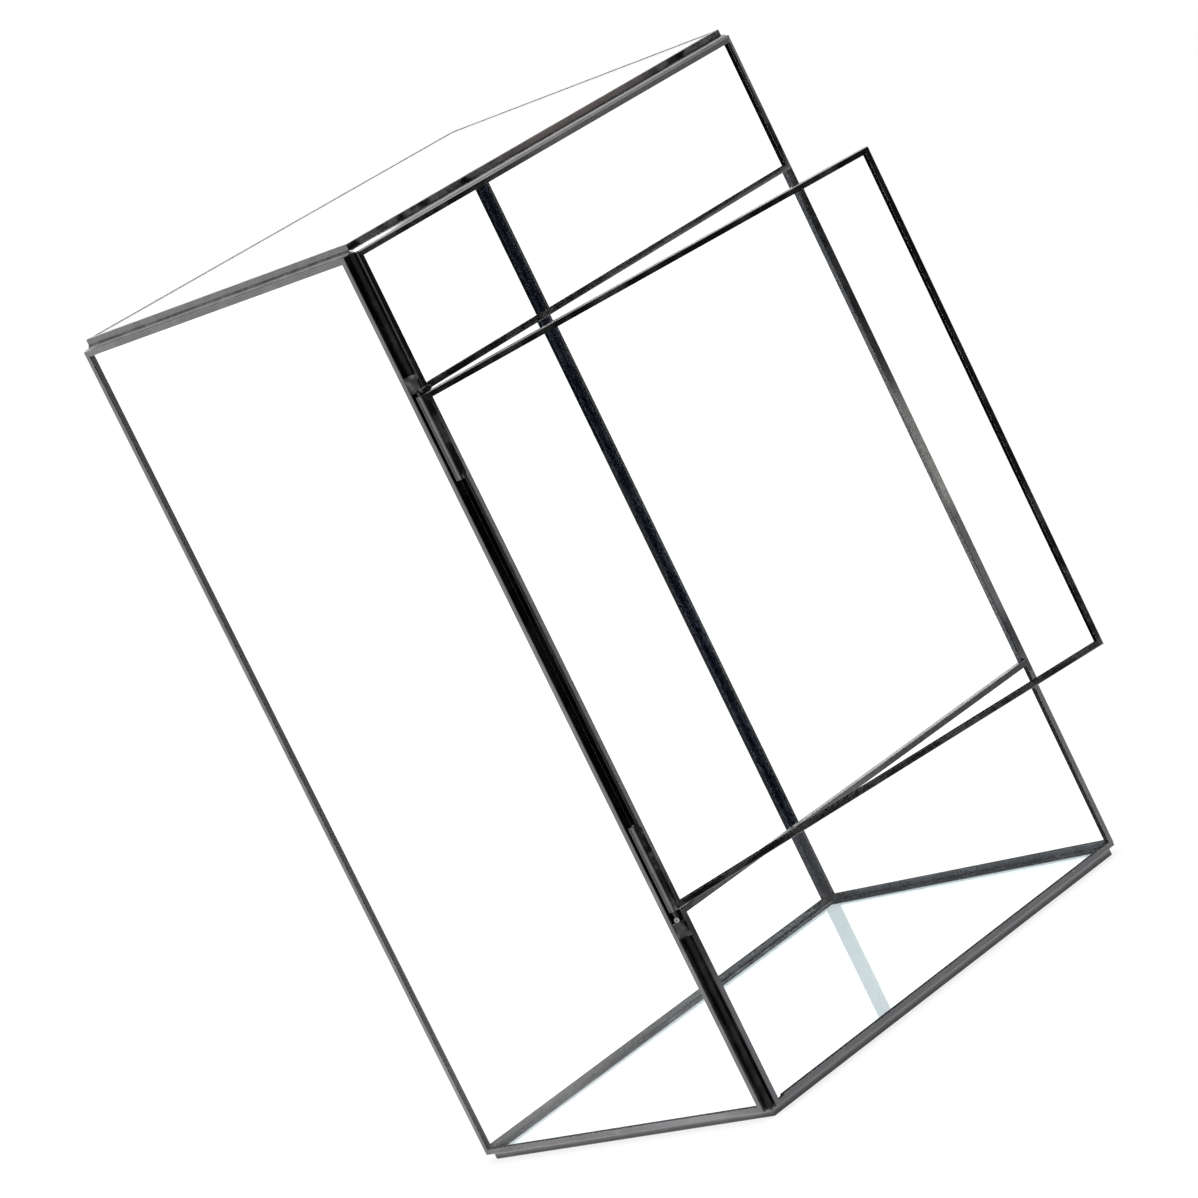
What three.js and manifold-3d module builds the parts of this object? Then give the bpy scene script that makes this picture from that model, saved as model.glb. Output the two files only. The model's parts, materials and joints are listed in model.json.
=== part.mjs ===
import * as THREE from 'three';
import { mergeVertices } from 'three/addons/utils/BufferGeometryUtils.js';
import Module from 'manifold-3d';

// Glass terrarium with a hinged front door. Millimetres, +Z up, the door faces -Y.
// Every pane is wrapped in a thin metal edging. Neighbouring panes meet along their inner edges only, so a
// square groove runs outside each edge of the box, with a seam of solder at the bottom of it.

// Box
const OVERALL_HEIGHT = 300;
const INNER_WIDTH = 176;
const INNER_DEPTH = 140;

// Edging and glass
const EDGING_THICKNESS = 3.2;
const EDGING_FACE = 1.9;
const EDGING_SKIN = 0.2;
const GLASS_CLEARANCE = 0.2;

// Solder in the grooves
const SEAM_LEG = 1.4;
const SEAM_SEGMENTS = 5;

// Front panes and the gaps round the door
const FRONT_LOWER_HEIGHT = 69.1;
const FRONT_UPPER_HEIGHT = 46.8;
const DOOR_GAP_BELOW = 0.4;
const DOOR_GAP_ABOVE = 0.6;
const DOOR_GAP_HINGE = 0.2;
const DOOR_GAP_FREE = 0.4;
const DOOR_MITRE_SETBACK = 0.2;
const DOOR_AJAR_DEGREES = 13.7;

// Hinge in the front left groove
const HINGE_INSET_SIDE = 1.6;
const HINGE_INSET_FRONT = 1.9;
const TUBE_RADIUS = 1.5;
const WIRE_RADIUS = 0.7;
const WIRE_CLEARANCE = 0.3;
const UPPER_TUBE_LENGTH = 28.2;
const LOWER_TUBE_LENGTH = 29.4;
const WIRE_INSET = 1.5;
const WIRE_DROP = 2.8;
const WIRE_END_REACH = 1.4;
const WIRE_END_DEGREES = 215;
const HINGE_SEGMENTS = 32;

// Blobs of solder that hold the wires
const ANCHOR_RADIUS = 3.1;
const ANCHOR_LENGTH = 5.4;
const ANCHOR_GAP = 1.2;
const ANCHOR_TAPER_SHARE = 0.5;
const ANCHOR_SEGMENTS = 8;
const ANCHOR_STEPS = 6;

// Derived sizes
const innerHeight = OVERALL_HEIGHT - 2 * EDGING_THICKNESS;
const glassMargin = EDGING_SKIN + GLASS_CLEARANCE;
const glassThickness = EDGING_THICKNESS - 2 * glassMargin;
const openingBottom = FRONT_LOWER_HEIGHT;
const openingTop = innerHeight - FRONT_UPPER_HEIGHT;
const doorBottom = openingBottom + DOOR_GAP_BELOW;
const doorTop = openingTop - DOOR_GAP_ABOVE;
const doorHeight = doorTop - doorBottom;
const doorWidth = INNER_WIDTH - DOOR_GAP_HINGE - DOOR_GAP_FREE;
const doorStart = HINGE_INSET_SIDE + DOOR_GAP_HINGE;
const doorAngle = THREE.MathUtils.degToRad(DOOR_AJAR_DEGREES);
const boreRadius = WIRE_RADIUS + WIRE_CLEARANCE;
const wireEndZ = doorBottom - WIRE_DROP;
const upperAnchorZ = doorTop + ANCHOR_GAP;
const lowerAnchorZ = wireEndZ - WIRE_RADIUS - WIRE_CLEARANCE;

const X = new THREE.Vector3(1, 0, 0);
const Y = new THREE.Vector3(0, 1, 0);
const Z = new THREE.Vector3(0, 0, 1);
const LEFT = X.clone().negate();
const FRONT = Y.clone().negate();
const DOWN = Z.clone().negate();

const looks = {
  glass: { color: 0xe6efec, roughness: 0.04, metalness: 0 },
  edging: { color: 0x1d1d20, roughness: 0.42, metalness: 0.85 },
  solder: { color: 0x2c2c2f, roughness: 0.5, metalness: 0.85 },
  tube: { color: 0x232326, roughness: 0.4, metalness: 0.9 },
  wire: { color: 0x8d8d90, roughness: 0.35, metalness: 1 },
};

const wasm = await Module();
wasm.setup();

/** A named mesh with a material of its own. */
function piece(name, geometry, look) {
  const mesh = new THREE.Mesh(geometry, new THREE.MeshStandardMaterial(looks[look]));
  mesh.name = name;
  return mesh;
}

/** Places a geometry so that its x, y and z run along the three given directions from a point. */
function place(geometry, origin, x, y, z) {
  return geometry.applyMatrix4(new THREE.Matrix4().makeBasis(x, y, z).setPosition(origin));
}

/** A closed solid for joining, from a geometry. */
function solidOf(geometry) {
  const bare = geometry.clone();
  bare.deleteAttribute('normal');
  bare.deleteAttribute('uv');
  const merged = mergeVertices(bare);
  return new wasm.Manifold(
    new wasm.Mesh({
      numProp: 3,
      vertProperties: merged.getAttribute('position').array,
      triVerts: new Uint32Array(merged.index.array),
    }),
  );
}

/** One geometry from several that overlap. */
function joined(geometries) {
  const mesh = geometries.map(solidOf).reduce((whole, next) => whole.add(next)).getMesh();
  const geometry = new THREE.BufferGeometry();
  geometry.setAttribute('position', new THREE.BufferAttribute(mesh.vertProperties, 3));
  geometry.setIndex(new THREE.BufferAttribute(mesh.triVerts, 1));
  geometry.computeVertexNormals();
  return geometry;
}

/** A length of U-shaped edging whose ends are mitred: x runs into the pane, y through it, z along it. */
function edgingStrip(length, setback) {
  const farSkin = EDGING_THICKNESS - EDGING_SKIN;
  const section = new THREE.Shape();
  section.moveTo(0, 0);
  section.lineTo(EDGING_FACE, 0);
  section.lineTo(EDGING_FACE, EDGING_SKIN);
  section.lineTo(EDGING_SKIN, EDGING_SKIN);
  section.lineTo(EDGING_SKIN, farSkin);
  section.lineTo(EDGING_FACE, farSkin);
  section.lineTo(EDGING_FACE, EDGING_THICKNESS);
  section.lineTo(0, EDGING_THICKNESS);
  const geometry = new THREE.ExtrudeGeometry(section, { depth: length, bevelEnabled: false });
  const position = geometry.getAttribute('position');
  for (let i = 0; i < position.count; i += 1) {
    const inset = position.getX(i) + setback;
    position.setZ(i, position.getZ(i) > 0 ? length - inset : inset);
  }
  return geometry;
}

/**
 * A pane of glass and its four edging strips. The pane starts at a corner of its inner face and runs along
 * two directions; its thickness grows outwards. The sides are named in order from the first direction's.
 */
function pane(name, width, height, corner, across, up, sides, setback = 0) {
  const outward = across.clone().cross(up);
  const glass = new THREE.BoxGeometry(
    width - 2 * glassMargin,
    height - 2 * glassMargin,
    glassThickness,
  );
  glass.translate(width / 2, height / 2, EDGING_THICKNESS / 2);
  const pieces = [piece(`${name}_glass`, place(glass, corner, across, up, outward), 'glass')];
  const start = corner.clone();
  let along = across.clone();
  sides.forEach((side, i) => {
    const length = i % 2 === 0 ? width : height;
    const inward = outward.clone().cross(along);
    const strip = place(edgingStrip(length, setback), start, inward, outward, along);
    pieces.push(piece(`${name}_edge_${side}`, strip, 'edging'));
    start.addScaledVector(along, length);
    along = inward;
  });
  return pieces;
}

/** Places a section drawn in a groove's corner so that it runs along the groove. */
function placeInGroove(geometry, start, along, legA, legB) {
  const turnsRight = legA.clone().cross(legB).dot(along) > 0;
  return place(geometry, start, turnsRight ? legA : legB, turnsRight ? legB : legA, along);
}

/** A seam of solder at the bottom of a groove, hollow on its outer side. */
function seam(name, start, along, length, legA, legB) {
  const section = new THREE.Shape();
  section.moveTo(0, 0);
  section.lineTo(SEAM_LEG, 0);
  section.absarc(SEAM_LEG, SEAM_LEG, SEAM_LEG, -Math.PI / 2, -Math.PI, true);
  const geometry = new THREE.ExtrudeGeometry(section, {
    depth: length,
    bevelEnabled: false,
    curveSegments: SEAM_SEGMENTS,
  });
  return piece(`seam_${name}`, placeInGroove(geometry, start, along, legA, legB), 'solder');
}

/** A blob of solder that fills the front left groove and thins out along it. */
function anchor(name, z, along) {
  const section = new THREE.Shape();
  section.moveTo(0, 0);
  section.lineTo(ANCHOR_RADIUS, 0);
  section.absarc(0, 0, ANCHOR_RADIUS, 0, Math.PI / 2, false);
  const geometry = new THREE.ExtrudeGeometry(section, {
    depth: ANCHOR_LENGTH,
    steps: ANCHOR_STEPS,
    bevelEnabled: false,
    curveSegments: ANCHOR_SEGMENTS,
  });
  const position = geometry.getAttribute('position');
  for (let i = 0; i < position.count; i += 1) {
    const share = 1 - ANCHOR_TAPER_SHARE * (position.getZ(i) / ANCHOR_LENGTH) ** 3;
    position.setX(i, position.getX(i) * share);
    position.setY(i, position.getY(i) * share);
  }
  const start = new THREE.Vector3(0, 0, z);
  return piece(`hinge_anchor_${name}`, placeInGroove(geometry, start, along, LEFT, FRONT), 'solder');
}

/** An upright round bar between two heights. */
function bar(radius, bottom, top) {
  const geometry = new THREE.CylinderGeometry(radius, radius, top - bottom, HINGE_SEGMENTS);
  geometry.rotateX(Math.PI / 2);
  return geometry.translate(0, 0, (bottom + top) / 2);
}

/** A hinge tube, from its lower end up. */
function tube(name, bottom, length) {
  const profile = [
    new THREE.Vector2(boreRadius, 0),
    new THREE.Vector2(TUBE_RADIUS, 0),
    new THREE.Vector2(TUBE_RADIUS, length),
    new THREE.Vector2(boreRadius, length),
    new THREE.Vector2(boreRadius, 0),
  ];
  const geometry = new THREE.LatheGeometry(profile, HINGE_SEGMENTS);
  geometry.rotateX(Math.PI / 2);
  geometry.translate(0, 0, bottom);
  return piece(`hinge_tube_${name}`, geometry, 'tube');
}

/** The wire in the upper tube: straight, its top end on the upper anchor. */
function upperWire() {
  const bottom = doorTop - UPPER_TUBE_LENGTH + WIRE_INSET;
  return piece('hinge_wire_upper', bar(WIRE_RADIUS, bottom, upperAnchorZ), 'wire');
}

/** The wire in the lower tube: its lower end turns outwards just above the lower anchor. */
function lowerWire() {
  const top = doorBottom + LOWER_TUBE_LENGTH - WIRE_INSET;
  const elbow = new THREE.SphereGeometry(WIRE_RADIUS, HINGE_SEGMENTS, HINGE_SEGMENTS / 2);
  elbow.rotateX(Math.PI / 2);
  elbow.translate(0, 0, wireEndZ);
  const end = new THREE.CylinderGeometry(WIRE_RADIUS, WIRE_RADIUS, WIRE_END_REACH, HINGE_SEGMENTS);
  end.translate(0, WIRE_END_REACH / 2, 0);
  end.rotateZ(-Math.PI / 2);
  end.rotateZ(THREE.MathUtils.degToRad(WIRE_END_DEGREES));
  end.translate(0, 0, wireEndZ);
  return piece('hinge_wire_lower', joined([bar(WIRE_RADIUS, wireEndZ, top), elbow, end]), 'wire');
}

/** The glass panes that don't move. */
function fixedPanes() {
  const W = INNER_WIDTH;
  const D = INNER_DEPTH;
  const H = innerHeight;
  const at = (x, y, z) => new THREE.Vector3(x, y, z);
  return [
    ...pane('left', D, H, at(0, D, 0), FRONT, Z, ['bottom', 'front', 'top', 'rear']),
    ...pane('right', D, H, at(W, 0, 0), Y, Z, ['bottom', 'rear', 'top', 'front']),
    ...pane('rear', W, H, at(W, D, 0), LEFT, Z, ['bottom', 'left', 'top', 'right']),
    ...pane('front_lower', W, FRONT_LOWER_HEIGHT, at(0, 0, 0), X, Z, ['bottom', 'right', 'top', 'left']),
    ...pane('front_upper', W, FRONT_UPPER_HEIGHT, at(0, 0, openingTop), X, Z, ['bottom', 'right', 'top', 'left']),
    ...pane('roof', W, D, at(0, 0, H), X, Y, ['front', 'right', 'rear', 'left']),
    ...pane('floor', W, D, at(0, D, 0), X, FRONT, ['rear', 'right', 'front', 'left']),
  ];
}

/** The solder in the grooves of the box. */
function seams() {
  const W = INNER_WIDTH;
  const D = INNER_DEPTH;
  const H = innerHeight;
  const at = (x, y, z) => new THREE.Vector3(x, y, z);
  const seamsOfEnd = (name, z, outward) => [
    seam(`${name}_front`, at(0, 0, z), X, W, FRONT, outward),
    seam(`${name}_rear`, at(0, D, z), X, W, Y, outward),
    seam(`${name}_left`, at(0, 0, z), Y, D, LEFT, outward),
    seam(`${name}_right`, at(W, 0, z), Y, D, X, outward),
  ];
  const lowerAnchorEnd = lowerAnchorZ - ANCHOR_LENGTH;
  const upperAnchorEnd = upperAnchorZ + ANCHOR_LENGTH;
  return [
    ...seamsOfEnd('top', H, Z),
    ...seamsOfEnd('bottom', 0, DOWN),
    seam('rear_left', at(0, D, 0), Z, H, LEFT, Y),
    seam('rear_right', at(W, D, 0), Z, H, X, Y),
    seam('front_right_lower', at(W, 0, 0), Z, FRONT_LOWER_HEIGHT, X, FRONT),
    seam('front_right_upper', at(W, 0, openingTop), Z, FRONT_UPPER_HEIGHT, X, FRONT),
    seam('front_left_lower', at(0, 0, 0), Z, lowerAnchorEnd, LEFT, FRONT),
    seam('front_left_upper', at(0, 0, upperAnchorEnd), Z, H - upperAnchorEnd, LEFT, FRONT),
  ];
}

/** The door, in a frame whose Z axis is the hinge axis, with the door closed. */
function doorPieces() {
  const corner = new THREE.Vector3(doorStart, HINGE_INSET_FRONT, doorBottom);
  const sides = ['bottom', 'free', 'top', 'hinge'];
  return [
    ...pane('door', doorWidth, doorHeight, corner, X, Z, sides, DOOR_MITRE_SETBACK),
    tube('upper', doorTop - UPPER_TUBE_LENGTH, UPPER_TUBE_LENGTH),
    tube('lower', doorBottom, LOWER_TUBE_LENGTH),
  ];
}

const door = new THREE.Group();
door.position.set(-HINGE_INSET_SIDE, -HINGE_INSET_FRONT, 0);
door.rotation.z = -doorAngle;
door.add(...doorPieces());

const wires = new THREE.Group();
wires.position.copy(door.position);
wires.add(upperWire(), lowerWire());

const box = new THREE.Group();
box.add(...fixedPanes(), ...seams(), anchor('upper', upperAnchorZ, Z), anchor('lower', lowerAnchorZ, DOWN), wires);

// The frame's origin is the middle of the footprint on the ground, the open door's included.
const doorReach = doorStart + doorWidth;
const doorOuter = EDGING_THICKNESS - HINGE_INSET_FRONT;
const doorFront = HINGE_INSET_FRONT + doorReach * Math.sin(doorAngle) + doorOuter * Math.cos(doorAngle);
const rear = INNER_DEPTH + EDGING_THICKNESS;
const terrarium = new THREE.Group();
terrarium.add(box, door);
terrarium.position.set(-INNER_WIDTH / 2, (doorFront - rear) / 2, EDGING_THICKNESS);

export default terrarium;
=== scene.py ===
"""Looks of a glass terrarium with a hinged front door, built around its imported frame.

Every pane of clear glass is wrapped in a thin metal edging with a dark patina. Solder lies in the
grooves where panes meet, and the door turns on two wires that run in tubes soldered to its edge.
"""

import json
import logging
import math
from dataclasses import dataclass, replace
from enum import Enum
from typing import Any, Iterable, Sequence, Union

import bmesh
import bpy
from mathutils import Matrix, Vector, noise


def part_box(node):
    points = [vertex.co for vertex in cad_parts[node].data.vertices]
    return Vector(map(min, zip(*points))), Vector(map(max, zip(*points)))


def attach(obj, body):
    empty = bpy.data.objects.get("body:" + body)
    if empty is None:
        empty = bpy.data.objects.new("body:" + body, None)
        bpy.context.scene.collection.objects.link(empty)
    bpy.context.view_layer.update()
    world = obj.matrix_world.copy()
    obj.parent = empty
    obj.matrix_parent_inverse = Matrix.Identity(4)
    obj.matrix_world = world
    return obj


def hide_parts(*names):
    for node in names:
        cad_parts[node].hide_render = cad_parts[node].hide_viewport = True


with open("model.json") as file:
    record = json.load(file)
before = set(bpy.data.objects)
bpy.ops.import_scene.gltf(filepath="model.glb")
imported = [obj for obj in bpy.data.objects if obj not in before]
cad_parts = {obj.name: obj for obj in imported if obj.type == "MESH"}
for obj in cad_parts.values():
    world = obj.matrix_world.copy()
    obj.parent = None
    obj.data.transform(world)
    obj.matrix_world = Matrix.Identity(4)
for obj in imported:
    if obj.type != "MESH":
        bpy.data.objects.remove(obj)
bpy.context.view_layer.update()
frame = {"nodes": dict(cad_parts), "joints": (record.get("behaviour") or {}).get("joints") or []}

log = logging.getLogger("terrarium")

# A millimetre in metres, the angle above which a smooth piece keeps an edge, the distance
# within which two places are the same, and more vertices than any mesh here has
MM = 0.001
SHARP = math.radians(42)
NEAR = 1e-6
MOST_VERTS = 100_000

# Right, back and up, for someone who faces the door
X, Y, Z = Vector((1, 0, 0)), Vector((0, 1, 0)), Vector((0, 0, 1))

Range = tuple[float, float]
Triple = tuple[float, float, float]
Number = Union["Value", float]
Material = bpy.types.Material
Materials = dict[str, Material]
Socket = bpy.types.NodeSocket
Mesh = bmesh.types.BMesh
Face = bmesh.types.BMFace
Vert = bmesh.types.BMVert


class Body(str, Enum):
    """The two bodies of the terrarium."""

    BOX = "box"
    DOOR = "door"


class Slot(str, Enum):
    """The record's material slots."""

    GLASS = "glass"
    EDGING = "edging"
    SOLDER = "solder"
    TUBE = "tube"
    WIRE = "wire"


# Shader maths


class Value:
    """A number socket that takes part in arithmetic."""

    def __init__(self, shader: "Shader", socket: Socket) -> None:
        """Wraps a socket.

        Args:
            shader: the node tree that the socket belongs to.
            socket: an output socket that carries a number.
        """
        self.shader = shader
        self.socket = socket

    def _math(self, operation: str, first: Number, second: Number) -> "Value":
        """Adds a Math node for two numbers."""
        made = self.shader.node("ShaderNodeMath", {0: first, 1: second}, operation=operation)
        return Value(self.shader, made.outputs[0])

    def __add__(self, other: Number) -> "Value":
        """This value plus another."""
        return self._math("ADD", self, other)

    def __sub__(self, other: Number) -> "Value":
        """This value less another."""
        return self._math("SUBTRACT", self, other)

    def __rsub__(self, other: Number) -> "Value":
        """Another number less this value."""
        return self._math("SUBTRACT", other, self)

    def __mul__(self, other: Number) -> "Value":
        """This value times another."""
        return self._math("MULTIPLY", self, other)

    __radd__ = __add__
    __rmul__ = __mul__

    def largest(self, other: Number) -> "Value":
        """The larger of this value and another."""
        return self._math("MAXIMUM", self, other)

    def between(self, low: float, high: float) -> "Value":
        """A soft step of this value.

        Args:
            low: where the step begins, at 0.
            high: where it ends, at 1.

        Returns:
            The step, from 0 to 1.
        """
        sockets = {"Value": self, "From Min": low, "From Max": high}
        made = self.shader.node("ShaderNodeMapRange", sockets, interpolation_type="SMOOTHSTEP")
        return Value(self.shader, made.outputs["Result"])


class Shader:
    """A node tree, of a material or of the world, with one method that adds its nodes.

    Its place is a piece's own coordinates, in metres, and its way the direction in the world.
    """

    def __init__(self, owner: Union[Material, bpy.types.World]) -> None:
        """Empties the owner's node tree and adds its coordinates.

        Args:
            owner: the material or world to write.
        """
        owner.use_nodes = True
        self.tree = owner.node_tree
        self.tree.nodes.clear()
        coordinates = self.node("ShaderNodeTexCoord").outputs
        self.place, self.way = coordinates["Object"], coordinates["Generated"]

    def node(
        self, kind: str, sockets: dict[Union[str, int], Any] | None = None, **settings: Any
    ) -> bpy.types.Node:
        """Adds a node.

        Args:
            kind: the node's type.
            sockets: a value, socket or plain number for each input.
            settings: its properties, set before its sockets.

        Returns:
            The node.
        """
        made = self.tree.nodes.new(kind)
        for key, value in settings.items():
            setattr(made, key, value)
        for key, value in (sockets or {}).items():
            value = value.socket if isinstance(value, Value) else value
            if isinstance(value, Socket):
                self.tree.links.new(value, made.inputs[key])
            else:
                made.inputs[key].default_value = value
        return made

    def clouds(self, size: float, detail: float) -> Value:
        """Noise over the surface.

        Args:
            size: how wide its patches are, in metres.
            detail: how many finer layers it has.

        Returns:
            The noise, about 0.5 on average.
        """
        sockets = {"Vector": self.place, "Scale": 1.0 / size, "Detail": detail}
        sockets["Roughness"] = 0.55
        made = self.node("ShaderNodeTexNoise", sockets, noise_dimensions="3D")
        return Value(self, made.outputs[0])

    def blend(self, share: Number, first: Any, second: Any) -> Socket:
        """A mix of two colours.

        Args:
            share: how much of the second there is.
            first: a colour or colour socket.
            second: a colour or colour socket.

        Returns:
            The mixed colour's socket.
        """
        start, end = ((*c, 1.0) if isinstance(c, tuple) else c for c in (first, second))
        made = self.node("ShaderNodeMix", {0: share, 6: start, 7: end}, data_type="RGBA")
        return made.outputs[2]

    def vectors(self, operation: str, first: Socket, second: Sequence[float] = (0, 0, 0)) -> Any:
        """The outputs of a Vector Math node for two vectors."""
        sockets = {0: first, 1: tuple(second)}
        return self.node("ShaderNodeVectorMath", sockets, operation=operation).outputs

    def along(self, place: Socket, way: Vector) -> Value:
        """How far a place or direction lies along a way."""
        return Value(self, self.vectors("DOT_PRODUCT", place, way)["Value"])

    def mixed(self, share: Number, first: Socket, second: Socket) -> Socket:
        """A mix of two shaders, with the share of the second."""
        return self.node("ShaderNodeMixShader", {0: share, 1: first, 2: second}).outputs[0]

    def glow(self, strength: Number) -> Socket:
        """A shader that gives off white light."""
        return self.node("ShaderNodeEmission", {"Strength": strength}).outputs[0]

    def finish(self, surface: Socket, world: bool = False) -> None:
        """Joins the last shader to the output."""
        kind = "ShaderNodeOutputWorld" if world else "ShaderNodeOutputMaterial"
        self.node(kind, {"Surface": surface})


# Finishes


@dataclass(frozen=True)
class Span:
    """A stretch along a direction, with soft ends."""

    way: Vector
    low: float
    high: float
    fade: float

    def share(self, shader: Shader, origin: Vector) -> Value:
        """How far inside the stretch each place is.

        Args:
            shader: the shader to add nodes to.
            origin: where the stretch is measured from.

        Returns:
            The share, from 0 to 1.
        """
        along = shader.along(shader.place, self.way) - self.way.dot(origin)
        begun = along.between(self.low - self.fade, self.low + self.fade)
        ended = along.between(self.high - self.fade, self.high + self.fade)
        return begun * (1.0 - ended)


@dataclass(frozen=True)
class Stain:
    """A part of a finish with another tone: worn patina, patina with painted shade in a groove, or
    painted light and shade.
    """

    colour: Triple
    matt: float
    origin: Vector
    spans: tuple[Span, ...]

    def share(self, shader: Shader) -> Value:
        """How much of the stain each place has.

        Args:
            shader: the shader to add nodes to.

        Returns:
            The share, from 0 to 1.
        """
        share = self.spans[0].share(shader, self.origin)
        for span in self.spans[1:]:
            share = share * span.share(shader, self.origin)
        return share


@dataclass(frozen=True)
class Finish:
    """A finish, which writes a material under its own name."""

    name: str

    def material(self) -> Material:
        """Writes the material.

        Returns:
            The material.
        """
        made = bpy.data.materials.new(self.name)
        shader = Shader(made)
        shader.finish(self.surface(shader))
        return made

    def surface(self, shader: Shader) -> Socket:
        """Makes the finish's shader, in each kind of finish in its own way.

        Args:
            shader: the shader to add nodes to.

        Returns:
            The last shader's socket.
        """
        raise NotImplementedError


@dataclass(frozen=True)
class PatinaMetal(Finish):
    """Tinned metal under a dark chemical patina, uneven in tone and slightly lumpy.

    A duller bloom lies over the dark tone in patches, and small spots are rubbed bright. A range
    says where a noise begins to show and where it shows in full.
    """

    dark: Triple
    bloom: Triple
    rubbed: Triple
    matt: float = 0.35
    patch: float = 11 * MM
    grain: float = 1.3 * MM
    smooth: float = 0.14
    rough: float = 0.32
    lump: float = 0.25
    lump_height: float = 0.12 * MM
    cover: Range = (0.44, 0.66)
    spots: Range = (0.58, 0.72)
    spotted: Range = (0.4, 0.6)
    brightness: float = 0.7
    dulled: Range = (0.35, 0.65)
    stains: tuple[Stain, ...] = ()

    def surface(self, shader: Shader) -> Socket:
        """Makes the metal's shader.

        Args:
            shader: the shader to add nodes to.

        Returns:
            The shader's socket.
        """
        patches = shader.clouds(self.patch, 3.0)
        grain = shader.clouds(self.grain, 4.0)
        drift = shader.clouds(self.patch * 4, 2.0)
        bloom = patches.between(*self.cover) * (0.4 + 0.6 * grain)
        rubbed = (grain * 0.6 + patches * 0.4).between(*self.spots)
        rubbed = rubbed * drift.between(*self.spotted) * self.brightness
        tone = shader.blend(bloom, self.dark, self.bloom)
        tone = shader.blend(rubbed, tone, self.rubbed)
        bare = 1.0 - bloom * self.matt
        for stain in self.stains:
            side = stain.share(shader) * (0.65 + 0.5 * grain)
            tone = shader.blend(side, tone, stain.colour)
            bare = bare * (1.0 - stain.matt * side)
        worn = (patches * 0.5 + grain * 0.5).between(*self.dulled)
        dull = self.smooth + (self.rough - self.smooth) * worn
        lumps = shader.clouds(self.grain * 3, 2.0) * 0.8 + grain * 0.2
        relief = {"Strength": self.lump, "Distance": self.lump_height, "Height": lumps}
        bump = shader.node("ShaderNodeBump", relief).outputs[0]
        metal = {"Base Color": tone, "Metallic": bare, "Roughness": dull, "Normal": bump}
        return shader.node("ShaderNodeBsdfPrincipled", metal).outputs[0]


@dataclass(frozen=True)
class ClearGlass(Finish):
    """Clean float glass that bends light and lets lamps through."""

    clear: Triple
    tinted: Triple
    passes: Triple
    ior: float = 1.52
    shine: float = 0.22
    haze: float = 70 * MM
    hazy: Range = (0.35, 0.65)

    def surface(self, shader: Shader) -> Socket:
        """Makes the glass's shader.

        Args:
            shader: the shader to add nodes to.

        Returns:
            The shader's socket.
        """
        haze = shader.clouds(self.haze, 2.0).between(*self.hazy)
        glass = {
            "Base Color": shader.blend(haze, self.clear, self.tinted),
            "Roughness": 0.0,
            "IOR": self.ior,
            "Specular Tint": (self.shine, self.shine, self.shine, 1.0),
            "Transmission Weight": 1.0,
        }
        solid = shader.node("ShaderNodeBsdfPrincipled", glass).outputs[0]
        opened = shader.node("ShaderNodeBsdfTransparent", {"Color": (*self.passes, 1.0)})
        shadow = shader.node("ShaderNodeLightPath").outputs["Is Shadow Ray"]
        return shader.mixed(shadow, solid, opened.outputs[0])


@dataclass(frozen=True)
class CutWire(Finish):
    """Darkened wire with a bright ring at its cut end."""

    shade: Triple
    bright: Triple
    tip: Triple
    grain: float = 0.5 * MM
    hollow: Range = (0.36 * MM, 0.46 * MM)
    reach: Range = (0.75 * MM, 0.9 * MM)

    def surface(self, shader: Shader) -> Socket:
        """Makes the wire's shader.

        Args:
            shader: the shader to add nodes to.

        Returns:
            The shader's socket.
        """
        grain = shader.clouds(self.grain, 3.0)
        away = Value(shader, shader.vectors("DISTANCE", shader.place, self.tip)["Value"])
        ring = away.between(*self.hollow) * (1.0 - away.between(*self.reach))
        tone = shader.blend(ring * (0.5 + 0.5 * grain), self.shade, self.bright)
        metal = {"Base Color": tone, "Metallic": 1.0, "Roughness": 0.22 + 0.2 * grain}
        return shader.node("ShaderNodeBsdfPrincipled", metal).outputs[0]


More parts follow.
